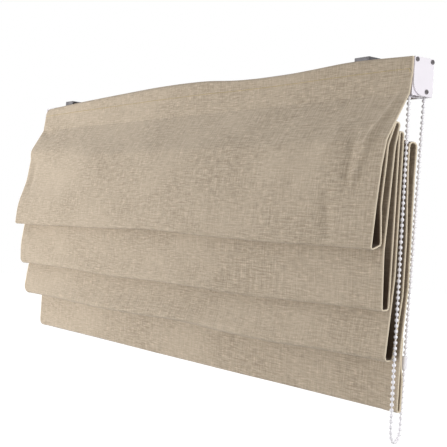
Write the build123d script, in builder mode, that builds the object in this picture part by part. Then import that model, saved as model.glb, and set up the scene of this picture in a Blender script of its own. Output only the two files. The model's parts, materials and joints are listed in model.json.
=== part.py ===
# Roman blind, raised: a folded linen panel under an aluminium headrail, worked by a side chain drive.
# Millimetres. X runs along the blind, Y towards the wall, Z up. Z = 0 is the face that meets the ceiling.
import os
from math import cos, pi, radians, sin

from build123d import *

os.makedirs("parts", exist_ok=True)

# Overall sizes
BLIND_WIDTH = 900.0
RAIL_DEPTH = 28.0
RAIL_HEIGHT = 42.0
BRACKET_RISE = 7.0

# Headrail section
RAIL_WALL = 1.4
FRONT_WALL = 2.4
SLOT_WIDTH = 14.0
SLOT_CAVITY_WIDTH = 22.0
SLOT_CAVITY_HEIGHT = 5.0
BOTTOM_LIP = 2.0
TAPE_DROP = 3.0
TAPE_HEIGHT = 15.0
HOOK_TAPE_THICKNESS = 1.0
LOOP_TAPE_THICKNESS = 1.4
TAPE_END_INSET = 20.0

# End fittings
CAP_DEPTH = 30.0
COVER_THICKNESS = 2.0
SIDE_PLATE_THICKNESS = 2.0
CHAMBER_WIDTH = 10.0
HOUSING_WALL = 3.0
SPIGOT_LENGTH = 24.0
SPIGOT_CLEARANCE = 0.2
SPIGOT_HOLLOW_WIDTH = 5.0
SPIGOT_HOLLOW_HEIGHT = 7.0
SPIGOT_HOLLOW_INSET = 5.0
SPIGOT_HOLLOW_RISE = 6.0
LEFT_CAP_THICKNESS = 3.0
COVER_CORNER_RADIUS = 15.0
COVER_EDGE_RADIUS = 1.5
SCREW_RADIUS = 1.3
SCREW_HEAD_RADIUS = 2.6
SCREW_HEAD_HEIGHT = 0.8
SCREW_LENGTH = 6.0
SCREW_RECESS_LENGTH = 2.8
SCREW_RECESS_WIDTH = 0.6
SCREW_RECESS_DEPTH = 0.5
SCREW_INSET = 3.4
LOW_SCREW_Y = 5.1
LOW_SCREW_RISE = 5.3
BOSS_WIDTH = 5.0

# Chain drive
SHAFT_DROP = 21.0
SHAFT_ACROSS_FLATS = 5.0
RUNNING_CLEARANCE = 0.05
BEAD_DIAMETER = 4.5
BEAD_PITCH = 6.0
JOINER_WALL = 0.8
JOINER_HALF_LENGTH = 7.0
POCKETS = 12
CHAIN_CLEARANCE = 0.35
POCKET_RELIEF = 0.3
POCKET_WIDTH = 5.4
WHEEL_WIDTH = 8.0
WHEEL_FLANGE = 1.2
WHEEL_WEB = 0.8
CORE_RADIUS = 5.0
CORE_BORE = 3.2
SPRING_WIRE = 1.2
SPRING_TURNS = 4
HUB_RADIUS = 6.0
HUB_THICKNESS = 1.4
BUSH_RADIUS = 4.5
BUSH_WALL = 1.8
STUB_RADIUS = 2.6
STUB_GAP = 0.3

# Lift system
LIFT_INSET = 110.0
CORD_DIAMETER = 1.4
DRUM_RADIUS = 5.6
DRUM_LENGTH = 32.0
WOUND_LENGTH = 25.0
SPOOL_FLANGE_RADIUS = 9.0
SPOOL_FLANGE_THICKNESS = 1.5
JOURNAL_RADIUS = 4.0
CRADLE_EAR = 2.0
CRADLE_BASE = 1.8
CRADLE_CLEARANCE = 0.4
EAR_GAP = 0.3
RING_OUTER_RADIUS = 6.2
RING_HOLE_RADIUS = 4.2
RING_THICKNESS = 1.6
ROD_DIAMETER = 4.0
ROD_END_INSET = 16.0
ROD_GAP = 0.2
KNOT_RADIUS = 1.6
END_RING_INSET = 12.0
TAB_WIDTH = 8.0
TAB_THICKNESS = 0.8
POCKET_TAPE_THICKNESS = 0.8

# Fabric
FABRIC_THICKNESS = 1.2
FABRIC_EDGE_INSET = 1.5
BACK_EDGE_INSET = 6.0
TAPER_START = 66.0
TAPER_FRONT = 20.0
TAPER_BACK = 4.0
BAR_DEPTH = 3.0
BAR_HEIGHT = 25.0
BAR_END_INSET = 12.0

# Ceiling brackets
BRACKET_INSET = 85.0
BRACKET_LENGTH = 24.0
BRACKET_SHEET = 1.6
SCREW_HOLE_RADIUS = 2.2
SCREW_HOLE_OFFSET = 6.0
SCREW_HOLE_SPACING = 16.0
PIVOT_OFFSET = 4.0
PIVOT_RADIUS = 3.0
LEVER_HUB_RADIUS = 5.0
LEVER_REACH = 22.0
LEVER_WIDTH = 9.0
LEVER_THICKNESS = 3.6
LEVER_GAP = 0.4
CAM_LENGTH = 20.0
CAM_WIDTH = 12.0
CAM_THICKNESS = 2.4
CAM_GAP = 0.3
PIVOT_TOP_GAP = 0.2

# Places worked out from the sizes above
rail_top = -BRACKET_RISE
rail_bottom = rail_top - RAIL_HEIGHT
rail_front = -RAIL_DEPTH / 2
rail_middle = (rail_top + rail_bottom) / 2
inner_front = rail_front + FRONT_WALL
inner_back = RAIL_DEPTH / 2 - RAIL_WALL
web_bottom = rail_top - 2 * RAIL_WALL - SLOT_CAVITY_HEIGHT
channel_floor = rail_bottom + RAIL_WALL
cover_inner_x = BLIND_WIDTH / 2 - COVER_THICKNESS
plate_inner_x = cover_inner_x - SIDE_PLATE_THICKNESS
chamber_inner_x = plate_inner_x - CHAMBER_WIDTH
rail_right_x = chamber_inner_x - HOUSING_WALL
rail_left_x = -BLIND_WIDTH / 2 + LEFT_CAP_THICKNESS
shaft_z = rail_top - SHAFT_DROP
wheel_x = (plate_inner_x + chamber_inner_x) / 2
pitch_radius = BEAD_PITCH / 2 / sin(pi / POCKETS)
groove_radius = BEAD_DIAMETER / 2 + CHAIN_CLEARANCE
chamber_radius = pitch_radius + groove_radius
wheel_radius = pitch_radius + WHEEL_FLANGE
wound_radius = DRUM_RADIUS + CORD_DIAMETER
cord_y = -(wound_radius + CORD_DIAMETER / 2 + 0.3)
lift_x = BLIND_WIDTH / 2 - LIFT_INSET
cord_places = (-lift_x, 0.0, lift_x)
fabric_end_x = BLIND_WIDTH / 2 - FABRIC_EDGE_INSET
back_end_x = BLIND_WIDTH / 2 - BACK_EDGE_INSET
half_cloth = FABRIC_THICKNESS / 2
cloth_top_forward = LOOP_TAPE_THICKNESS + half_cloth

names = {-1: "left", 0: "middle", 1: "right"}


def section(forward, drop):
    """A point of the blind's cross-section: how far it stands in front of the rail and how far below its top."""
    return (rail_front - forward, rail_top - drop)


def save(part, name):
    """Names a finished piece and writes its file."""
    part.label = name
    export_step(part, f"parts/{name}.step")


def hexagon_radius(across_flats):
    return across_flats / 2 / cos(radians(30))


# Headrail: box section with a slot along its top, a recess for the hook tape and an open bottom with lips
with BuildPart() as headrail:
    with BuildSketch(Plane.YZ.offset(rail_left_x)):
        with Locations((0, rail_middle)):
            RectangleRounded(RAIL_DEPTH, RAIL_HEIGHT, 1.2)
        with Locations((0, rail_top)):
            Rectangle(SLOT_WIDTH, 4 * RAIL_WALL, mode=Mode.SUBTRACT)
        with Locations((0, rail_top - RAIL_WALL)):
            Rectangle(SLOT_CAVITY_WIDTH, SLOT_CAVITY_HEIGHT, align=(Align.CENTER, Align.MAX), mode=Mode.SUBTRACT)
        with Locations((inner_front, channel_floor)):
            Rectangle(inner_back - inner_front, web_bottom - channel_floor, align=Align.MIN, mode=Mode.SUBTRACT)
        with Locations((inner_front + BOTTOM_LIP, rail_bottom - 1)):
            Rectangle(inner_back - inner_front - 2 * BOTTOM_LIP, 4, align=Align.MIN, mode=Mode.SUBTRACT)
        with Locations((rail_front, rail_top - TAPE_DROP)):
            Rectangle(2 * HOOK_TAPE_THICKNESS, TAPE_HEIGHT, align=(Align.CENTER, Align.MAX), mode=Mode.SUBTRACT)
    extrude(amount=rail_right_x - rail_left_x)
save(headrail.part, "headrail")

# Hook tape in the rail's recess, and the loop tape that is sewn to the back of the cloth
tape_length = rail_right_x - rail_left_x - 2 * TAPE_END_INSET
tape_middle_x = (rail_right_x + rail_left_x) / 2
tape_middle_z = rail_top - TAPE_DROP - TAPE_HEIGHT / 2
with BuildPart() as hook_tape:
    with Locations((tape_middle_x, rail_front, tape_middle_z)):
        Box(tape_length, HOOK_TAPE_THICKNESS, TAPE_HEIGHT, align=(Align.CENTER, Align.MIN, Align.CENTER))
save(hook_tape.part, "hook_tape")

with BuildPart() as loop_tape:
    with Locations((tape_middle_x, rail_front, tape_middle_z)):
        Box(tape_length, LOOP_TAPE_THICKNESS, TAPE_HEIGHT, align=(Align.CENTER, Align.MAX, Align.CENTER))
save(loop_tape.part, "loop_tape")

# Left end cap: a plate with a spigot that fills the rail's mouth and a bearing for the shaft
bush_bore = BUSH_RADIUS + RUNNING_CLEARANCE


def spigot_outline():
    """The part of an end fitting that slides into the rail, as a sketch in the current builder."""
    low = channel_floor + SPIGOT_CLEARANCE
    high = web_bottom - SPIGOT_CLEARANCE
    front = inner_front + SPIGOT_CLEARANCE
    back = inner_back - SPIGOT_CLEARANCE
    with Locations(((front + back) / 2, (low + high) / 2)):
        RectangleRounded(back - front, high - low, 1.0)


with BuildPart() as left_cap:
    with BuildSketch(Plane.YZ.offset(-BLIND_WIDTH / 2)):
        with Locations((0, rail_middle)):
            RectangleRounded(CAP_DEPTH, RAIL_HEIGHT, 1.5)
    extrude(amount=LEFT_CAP_THICKNESS)
    fillet(left_cap.faces().sort_by(Axis.X)[0].edges(), 1.0)
    with BuildSketch(Plane.YZ.offset(rail_left_x)):
        spigot_outline()
        with Locations(((inner_front + inner_back) / 2, (channel_floor + web_bottom) / 2)):
            RectangleRounded(
                inner_back - inner_front - 2 * RAIL_WALL - 2,
                web_bottom - channel_floor - 2 * RAIL_WALL - 2,
                1.0,
                mode=Mode.SUBTRACT,
            )
    extrude(amount=SPIGOT_LENGTH / 2)
    with BuildSketch(Plane.YZ.offset(rail_left_x)):
        with Locations((0, shaft_z)):
            Circle(bush_bore + BUSH_WALL)
    extrude(amount=SPIGOT_LENGTH / 2)
    with BuildSketch(Plane.YZ.offset(rail_left_x)):
        with Locations((0, shaft_z)):
            Circle(bush_bore)
    extrude(amount=SPIGOT_LENGTH / 2, mode=Mode.SUBTRACT)
save(left_cap.part, "left_end_cap")

# Drive housing: a cup for the chain wheel, open below for both strands, on a spigot that holds the clutch core
screw_places = (
    (-CAP_DEPTH / 2 + SCREW_INSET, rail_top - SCREW_INSET),
    (CAP_DEPTH / 2 - SCREW_INSET, rail_top - SCREW_INSET),
    (LOW_SCREW_Y, rail_bottom + LOW_SCREW_RISE),
)
with BuildPart() as drive_housing:
    with BuildSketch(Plane.YZ.offset(rail_right_x)):
        with Locations((0, rail_middle)):
            RectangleRounded(CAP_DEPTH, RAIL_HEIGHT, 1.5)
    extrude(amount=plate_inner_x - rail_right_x)
    with BuildSketch(Plane.YZ.offset(chamber_inner_x)):
        with Locations((0, shaft_z)):
            Circle(chamber_radius)
        with Locations((0, shaft_z)):
            Rectangle(2 * chamber_radius, RAIL_HEIGHT, align=(Align.CENTER, Align.MAX))
    extrude(amount=CHAMBER_WIDTH, mode=Mode.SUBTRACT)
    with BuildSketch(Plane.YZ.offset(rail_right_x)):
        spigot_outline()
    extrude(amount=-SPIGOT_LENGTH)
    with BuildSketch(Plane.YZ.offset(rail_right_x - SPIGOT_LENGTH)):
        with Locations((0, shaft_z)):
            Circle(CORE_RADIUS)
    extrude(amount=SPIGOT_LENGTH + HOUSING_WALL, mode=Mode.SUBTRACT)
    with BuildSketch(Plane.YZ.offset(rail_right_x - SPIGOT_LENGTH)):
        hollow_z = channel_floor + SPIGOT_HOLLOW_RISE
        with Locations((inner_front + SPIGOT_HOLLOW_INSET, hollow_z), (inner_back - SPIGOT_HOLLOW_INSET, hollow_z)):
            Rectangle(SPIGOT_HOLLOW_WIDTH, SPIGOT_HOLLOW_HEIGHT)
    extrude(amount=SPIGOT_LENGTH, mode=Mode.SUBTRACT)
    with BuildSketch(Plane.YZ.offset(chamber_inner_x)):
        with Locations((screw_places[2][0], rail_bottom)):
            Rectangle(BOSS_WIDTH, screw_places[2][1] + BOSS_WIDTH / 2 - rail_bottom, align=(Align.CENTER, Align.MIN))
    extrude(amount=CHAMBER_WIDTH)
    with BuildSketch(Plane.YZ.offset(plate_inner_x - SCREW_LENGTH)):
        with Locations(*screw_places):
            Circle(SCREW_RADIUS)
    extrude(amount=SCREW_LENGTH, mode=Mode.SUBTRACT)
save(drive_housing.part, "drive_housing")

# Side plate that closes the wheel chamber and carries the outer end of the hub
with BuildPart() as side_plate:
    with BuildSketch(Plane.YZ.offset(plate_inner_x)):
        with Locations((0, rail_middle)):
            RectangleRounded(CAP_DEPTH, RAIL_HEIGHT, 1.5)
        with Locations((0, shaft_z)):
            Circle(STUB_RADIUS + RUNNING_CLEARANCE, mode=Mode.SUBTRACT)
        with Locations(*screw_places):
            Circle(SCREW_RADIUS, mode=Mode.SUBTRACT)
    extrude(amount=SIDE_PLATE_THICKNESS)
save(side_plate.part, "side_plate")

# Outer cover with its large round lower front corner
with BuildPart() as cover_plate:
    with BuildSketch(Plane.YZ.offset(cover_inner_x)):
        with Locations((0, rail_middle)):
            Rectangle(CAP_DEPTH, RAIL_HEIGHT)
        fillet(vertices().group_by(Axis.Y)[-1], COVER_EDGE_RADIUS)
        fillet(vertices().group_by(Axis.Y)[0].sort_by(Axis.X)[-1], COVER_EDGE_RADIUS)
        fillet(vertices().group_by(Axis.Y)[0].sort_by(Axis.X)[0], COVER_CORNER_RADIUS)
        with Locations(*screw_places):
            Circle(SCREW_RADIUS, mode=Mode.SUBTRACT)
    extrude(amount=COVER_THICKNESS)
    fillet(cover_plate.faces().sort_by(Axis.X)[-1].outer_wire().edges(), 0.6)
save(cover_plate.part, "cover_plate")

# Three pan-head screws through both plates
with BuildPart() as cover_screws:
    with BuildSketch(Plane.YZ.offset(plate_inner_x - SCREW_LENGTH)):
        with Locations(*screw_places):
            Circle(SCREW_RADIUS)
    extrude(amount=SCREW_LENGTH + SIDE_PLATE_THICKNESS + COVER_THICKNESS)
    with BuildSketch(Plane.YZ.offset(BLIND_WIDTH / 2)):
        with Locations(*screw_places):
            Circle(SCREW_HEAD_RADIUS)
    extrude(amount=SCREW_HEAD_HEIGHT)
    with BuildSketch(Plane.YZ.offset(BLIND_WIDTH / 2 + SCREW_HEAD_HEIGHT)):
        with Locations(*screw_places):
            Rectangle(SCREW_RECESS_LENGTH, SCREW_RECESS_WIDTH)
            Rectangle(SCREW_RECESS_WIDTH, SCREW_RECESS_LENGTH)
    extrude(amount=-SCREW_RECESS_DEPTH, mode=Mode.SUBTRACT)
save(cover_screws.part, "cover_screws")

# Chain wheel: a grooved wheel with a pocket for each bead
wheel_left = wheel_x - WHEEL_WIDTH / 2
wheel_right = wheel_x + WHEEL_WIDTH / 2
spring_outer = CORE_RADIUS + RUNNING_CLEARANCE + SPRING_WIRE
wheel_bore = spring_outer + 0.25
hub_left = wheel_right - HUB_THICKNESS
rim_z = shaft_z + wheel_radius
groove_half = (groove_radius**2 - WHEEL_FLANGE**2) ** 0.5
core_bore_z = shaft_z + CORE_RADIUS + RUNNING_CLEARANCE
with BuildPart() as chain_wheel:
    with BuildSketch(Plane.XZ):
        with BuildLine():
            Polyline((wheel_left, core_bore_z), (wheel_left, rim_z), (wheel_x - groove_half, rim_z))
            ThreePointArc(
                (wheel_x - groove_half, rim_z),
                (wheel_x, shaft_z + pitch_radius - groove_radius),
                (wheel_x + groove_half, rim_z),
            )
            Polyline(
                (wheel_x + groove_half, rim_z),
                (wheel_right, rim_z),
                (wheel_right, shaft_z + wheel_bore),
                (wheel_left + WHEEL_WEB, shaft_z + wheel_bore),
                (wheel_left + WHEEL_WEB, core_bore_z),
                (wheel_left, core_bore_z),
            )
        make_face()
    revolve(axis=Axis((0, 0, shaft_z), (1, 0, 0)))
    with Locations(Plane(origin=(wheel_x, 0, shaft_z), z_dir=(1, 0, 0))):
        with PolarLocations(pitch_radius, POCKETS, start_angle=180 / POCKETS):
            Cylinder(groove_radius + POCKET_RELIEF, POCKET_WIDTH, mode=Mode.SUBTRACT)
save(chain_wheel.part, "chain_wheel")

# Clutch core fixed in the housing, and the wrap spring on it with its turns touching
core_left = rail_right_x - SPIGOT_LENGTH
core_right = hub_left - 0.3
with BuildPart() as clutch_core:
    with BuildSketch(Plane.YZ.offset(core_left)):
        with Locations((0, shaft_z)):
            Circle(CORE_RADIUS)
            Circle(CORE_BORE, mode=Mode.SUBTRACT)
    extrude(amount=core_right - core_left)
save(clutch_core.part, "clutch_core")

spring_left = wheel_left + 1.0
with BuildPart() as brake_spring:
    with BuildSketch(Plane.XZ):
        with Locations((spring_left, shaft_z + CORE_RADIUS + RUNNING_CLEARANCE)):
            Rectangle(SPRING_TURNS * SPRING_WIRE, SPRING_WIRE / 2, align=Align.MIN)
        for turn in range(SPRING_TURNS):
            wire_x = spring_left + (turn + 0.5) * SPRING_WIRE
            with Locations((wire_x, shaft_z + CORE_RADIUS + RUNNING_CLEARANCE + SPRING_WIRE / 2)):
                Circle(SPRING_WIRE / 2)
    revolve(axis=Axis((0, 0, shaft_z), (1, 0, 0)))
save(brake_spring.part, "brake_spring")

# Output hub that carries the wheel's turn to the shaft
with BuildPart() as output_hub:
    with BuildSketch(Plane.YZ.offset(hub_left)):
        with Locations((0, shaft_z)):
            Circle(wheel_bore)
    extrude(amount=HUB_THICKNESS)
    with BuildSketch(Plane.YZ.offset(wheel_right)):
        with Locations((0, shaft_z)):
            Circle(STUB_RADIUS)
    extrude(amount=plate_inner_x + SIDE_PLATE_THICKNESS - STUB_GAP - wheel_right)
    with BuildSketch(Plane.YZ.offset(hub_left)):
        with Locations((0, shaft_z)):
            RegularPolygon(hexagon_radius(SHAFT_ACROSS_FLATS), 6)
    extrude(amount=HUB_THICKNESS - 0.4, mode=Mode.SUBTRACT)
save(output_hub.part, "output_hub")

# Hexagonal drive shaft from the bush at the left end to the hub at the right
shaft_left = rail_left_x + 1.0
shaft_right = wheel_right - 0.4
with BuildPart() as drive_shaft:
    with BuildSketch(Plane.YZ.offset(shaft_left)):
        with Locations((0, shaft_z)):
            RegularPolygon(hexagon_radius(SHAFT_ACROSS_FLATS), 6)
    extrude(amount=shaft_right - shaft_left)
save(drive_shaft.part, "drive_shaft")

with BuildPart() as shaft_bush:
    with BuildSketch(Plane.YZ.offset(shaft_left)):
        with Locations((0, shaft_z)):
            Circle(BUSH_RADIUS)
            RegularPolygon(hexagon_radius(SHAFT_ACROSS_FLATS), 6, mode=Mode.SUBTRACT)
    extrude(amount=SPIGOT_LENGTH / 2)
save(shaft_bush.part, "shaft_bush")

# Lift spools on the shaft, with the cord wound on them, in cradles that stand on the rail's lips
spool_half = DRUM_LENGTH / 2 + SPOOL_FLANGE_THICKNESS
journal_end = spool_half + EAR_GAP + CRADLE_EAR + 0.5
spool_bore = hexagon_radius(SHAFT_ACROSS_FLATS)
cradle_width = inner_back - inner_front - 2 * CRADLE_CLEARANCE
cradle_middle_y = (inner_front + inner_back) / 2
for number, cord_x in enumerate(cord_places, start=-1):
    with BuildPart() as spool:
        with BuildSketch(Plane.YZ.offset(cord_x - journal_end)):
            with Locations((0, shaft_z)):
                Circle(JOURNAL_RADIUS)
        extrude(amount=2 * journal_end)
        with BuildSketch(Plane.YZ.offset(cord_x - spool_half)):
            with Locations((0, shaft_z)):
                Circle(DRUM_RADIUS)
        extrude(amount=2 * spool_half)
        with BuildSketch(Plane.YZ.offset(cord_x - spool_half)):
            with Locations((0, shaft_z)):
                Circle(SPOOL_FLANGE_RADIUS)
        extrude(amount=SPOOL_FLANGE_THICKNESS)
        with BuildSketch(Plane.YZ.offset(cord_x + DRUM_LENGTH / 2)):
            with Locations((0, shaft_z)):
                Circle(SPOOL_FLANGE_RADIUS)
        extrude(amount=SPOOL_FLANGE_THICKNESS)
        with BuildSketch(Plane.YZ.offset(cord_x - journal_end)):
            with Locations((0, shaft_z)):
                RegularPolygon(spool_bore, 6)
        extrude(amount=2 * journal_end, mode=Mode.SUBTRACT)
    save(spool.part, f"spool_{names[number]}")

    with BuildPart() as winding:
        with BuildSketch(Plane.YZ.offset(cord_x + DRUM_LENGTH / 2 - WOUND_LENGTH)):
            with Locations((0, shaft_z)):
                Circle(wound_radius)
                Circle(DRUM_RADIUS, mode=Mode.SUBTRACT)
        extrude(amount=WOUND_LENGTH)
    save(winding.part, f"cord_winding_{names[number]}")

    with BuildPart() as cradle:
        with Locations((cord_x, cradle_middle_y, channel_floor)):
            Box(
                2 * journal_end,
                cradle_width,
                CRADLE_BASE,
                align=(Align.CENTER, Align.CENTER, Align.MIN),
            )
        for side in (-1, 1):
            ear_x = cord_x + side * (spool_half + EAR_GAP + CRADLE_EAR / 2) - CRADLE_EAR / 2
            with BuildSketch(Plane.YZ.offset(ear_x)):
                with Locations((0, shaft_z)):
                    Circle(JOURNAL_RADIUS + 2.4)
                with Locations((0, channel_floor)):
                    Rectangle(2 * JOURNAL_RADIUS + 4.8, shaft_z - channel_floor, align=(Align.CENTER, Align.MIN))
                with Locations((0, shaft_z)):
                    Circle(JOURNAL_RADIUS + RUNNING_CLEARANCE, mode=Mode.SUBTRACT)
            extrude(amount=CRADLE_EAR)
        with Locations((cord_x, cord_y, channel_floor)):
            Cylinder(CORD_DIAMETER / 2 + 0.3, 8, mode=Mode.SUBTRACT)
    save(cradle.part, f"spool_cradle_{names[number]}")

# The folded cloth: straight runs and tangent arcs through the points of its cross-section
cloth_route = [
    (cloth_top_forward, -14.0, None),
    (cloth_top_forward, 18.0, 25.0),
    (5.0, 40.0, 18.0),
    (33.6, 94.0, 20.0),
    (39.0, 122.0, 60.0),
    (44.0, 165.0, 150.0),
    (47.8, 213.0, 2.4),
    (33.4, 207.0, 3.4),
    (36.4, 165.0, 60.0),
    (32.0, 118.0, 60.0),
    (31.0, 100.0, 18.0),
    (21.2, 74.0, 3.1),
    (14.4, 74.0, 3.1),
    (20.5, 100.0, 40.0),
    (28.5, 215.0, 80.0),
    (25.8, 276.8, 2.8),
    (14.9, 275.2, 3.2),
    (14.0, 83.2, 3.2),
    (6.0, 83.2, 3.2),
    (5.5, 240.0, 80.0),
    (16.6, 332.0, 5.0),
    (-0.8, 331.5, 5.0),
    (-9.8, 262.0, 60.0),
    (-10.0, 200.0, 200.0),
    (-5.4, 118.0, 60.0),
    (-5.6, 91.9, 5.2),
    (-16.8, 91.9, 5.2),
    (-16.0, 130.0, 60.0),
    (-17.4, 250.0, 80.0),
    (-12.2, 318.0, 60.0),
    (-12.4, 387.0, 1.8),
    (-17.4, 387.0, 1.8),
    (-17.3, 352.0, 30.0),
    (-14.2, 336.0, 30.0),
    (-14.4, 306.0, None),
]
cloth_points = [section(forward, drop) for forward, drop, radius in cloth_route]
cloth_radii = [radius for forward, drop, radius in cloth_route[1:-1]]

# How high the cloth's top edge stands above the rail, from the right end to the left
top_edge = [
    (fabric_end_x + 4, -1.0),
    (400.0, 2.0),
    (354.0, 5.5),
    (290.0, 1.6),
    (150.0, 0.8),
    (60.0, 7.5),
    (-55.0, 10.5),
    (-190.0, 6.8),
    (-325.0, 4.6),
    (-fabric_end_x - 4, -2.5),
]
with BuildPart() as fabric:
    with BuildSketch(Plane.YZ.offset(-fabric_end_x)):
        with BuildLine() as cloth_line:
            FilletPolyline(*cloth_points, radius=cloth_radii)
            offset(amount=half_cloth, side=Side.BOTH)
        make_face()
    extrude(amount=2 * fabric_end_x)
    with BuildSketch(Plane.XZ.offset(-rail_front + cloth_top_forward + 6)):
        with BuildLine():
            Spline(*[(x, rail_top + rise) for x, rise in top_edge])
            Polyline(
                (top_edge[-1][0], rail_top + top_edge[-1][1]),
                (top_edge[-1][0], rail_top + 30),
                (top_edge[0][0], rail_top + 30),
                (top_edge[0][0], rail_top + top_edge[0][1]),
            )
        make_face()
    extrude(amount=-12, mode=Mode.SUBTRACT)
    # The layers at the back end a little short of the front ones
    taper_front = rail_front - TAPER_FRONT
    taper_back = rail_front + TAPER_BACK
    low = rail_top - max(drop for forward, drop, radius in cloth_route) - FABRIC_THICKNESS
    for side in (-1, 1):
        with BuildSketch(Plane.XY.offset(low)):
            with BuildLine():
                Polyline(
                    (side * (fabric_end_x + 1), taper_front),
                    (side * fabric_end_x, taper_front),
                    (side * back_end_x, taper_back),
                    (side * back_end_x, 30),
                    (side * (fabric_end_x + 1), 30),
                    close=True,
                )
            make_face()
        extrude(amount=rail_top - TAPER_START - low, mode=Mode.SUBTRACT)
save(fabric.part, "fabric")

# Rods in the three rear pockets, and the tape that closes each pocket under its rod
levels = ("upper", "middle", "lower")
flat_corners = [i for i in range(1, len(cloth_route) - 1) if cloth_route[i][1] == cloth_route[i + 1][1]]
crest_corner = dict(zip(levels, flat_corners))
crests = {}
for level, corner in crest_corner.items():
    crests[level] = ((cloth_route[corner][0] + cloth_route[corner + 1][0]) / 2, cloth_route[corner][1])
rod_radius = ROD_DIAMETER / 2
rod_length = 2 * (fabric_end_x - ROD_END_INSET)


def layer_forward(start, drop):
    """How far forward the cloth's middle line stands at a drop, on the run from one point of its route to the next."""
    forward_a, drop_a, radius_a = cloth_route[start]
    forward_b, drop_b, radius_b = cloth_route[start + 1]
    return forward_a + (forward_b - forward_a) * (drop - drop_a) / (drop_b - drop_a)


for level, (forward, drop) in crests.items():
    rod_drop = drop + half_cloth + ROD_GAP + rod_radius
    rod_front = layer_forward(crest_corner[level] - 1, rod_drop)
    rod_back = layer_forward(crest_corner[level] + 1, rod_drop)
    with BuildPart() as rod:
        with BuildSketch(Plane.YZ.offset(-rod_length / 2)):
            with Locations(section((rod_front + rod_back) / 2, rod_drop)):
                Circle(rod_radius)
        extrude(amount=rod_length)
    save(rod.part, f"rod_{level}")

    tape_drop = rod_drop + rod_radius + POCKET_TAPE_THICKNESS / 2
    tape_front = layer_forward(crest_corner[level] - 1, tape_drop)
    tape_back = layer_forward(crest_corner[level] + 1, tape_drop)
    with BuildPart() as pocket_tape:
        with BuildSketch(Plane.YZ.offset(-rod_length / 2)):
            with Locations(section((tape_front + tape_back) / 2, tape_drop)):
                Rectangle(abs(tape_front - tape_back), POCKET_TAPE_THICKNESS)
        extrude(amount=rod_length)
        add(fabric.part, mode=Mode.SUBTRACT)
    save(pocket_tape.part, f"pocket_tape_{level}")

# Cord rings on the crests, held on the cords' line by sewn tabs
ring_z = {level: rail_top - drop + half_cloth for level, (forward, drop) in crests.items()}
for level, (forward, drop) in crests.items():
    with BuildPart() as rings:
        with BuildSketch(Plane.XY.offset(ring_z[level])):
            with Locations(*[(x, cord_y) for x in cord_places]):
                Circle(RING_OUTER_RADIUS)
                Circle(RING_HOLE_RADIUS, mode=Mode.SUBTRACT)
        extrude(amount=RING_THICKNESS)
    save(rings.part, f"cord_rings_{level}")

for level in ("upper", "middle"):
    tab_front = section(*crests[level])[0]
    tab_back = cord_y - RING_HOLE_RADIUS - 0.3
    with BuildPart() as tabs:
        with BuildSketch(Plane.XY.offset(ring_z[level] - TAB_THICKNESS)):
            with Locations(*[(x, tab_front) for x in cord_places]):
                Rectangle(TAB_WIDTH, tab_back - tab_front, align=(Align.CENTER, Align.MIN))
        extrude(amount=TAB_THICKNESS)
        add(fabric.part, mode=Mode.SUBTRACT)
    save(tabs.part, f"ring_tabs_{level}")

# Small rings sewn flat on the lowest crest at both ends of the cloth
with BuildPart() as end_rings:
    with BuildSketch(Plane.XY.offset(ring_z["lower"])):
        with Locations(*[(side * (back_end_x - END_RING_INSET), cord_y) for side in (-1, 1)]):
            Circle(RING_OUTER_RADIUS)
            Circle(RING_HOLE_RADIUS, mode=Mode.SUBTRACT)
    extrude(amount=RING_THICKNESS)
save(end_rings.part, "end_rings")

# Lift cords from the spools down through the rings, tied off under the lowest
for number, cord_x in enumerate(cord_places, start=-1):
    with BuildPart() as lift_cord:
        with BuildSketch(Plane.XY.offset(ring_z["lower"] + RING_THICKNESS + KNOT_RADIUS)):
            with Locations((cord_x, cord_y)):
                Circle(CORD_DIAMETER / 2)
        extrude(amount=shaft_z - ring_z["lower"] - RING_THICKNESS - KNOT_RADIUS)
        with Locations((cord_x, cord_y, ring_z["lower"] + RING_THICKNESS + KNOT_RADIUS)):
            Sphere(KNOT_RADIUS)
    save(lift_cord.part, f"lift_cord_{names[number]}")

# Flat weight bar in the hem
hem_forward, hem_drop, hem_radius = cloth_route[flat_corners[-1]]
hem_middle = (hem_forward + cloth_route[flat_corners[-1] + 1][0]) / 2
bar_middle = section(hem_middle, hem_drop - hem_radius - half_cloth - BAR_HEIGHT / 2)
with BuildPart() as bottom_bar:
    with BuildSketch(Plane.YZ.offset(-back_end_x + BAR_END_INSET)):
        with Locations(bar_middle):
            RectangleRounded(BAR_DEPTH, BAR_HEIGHT, 1.0)
    extrude(amount=2 * (back_end_x - BAR_END_INSET))
save(bottom_bar.part, "bottom_bar")

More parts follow.
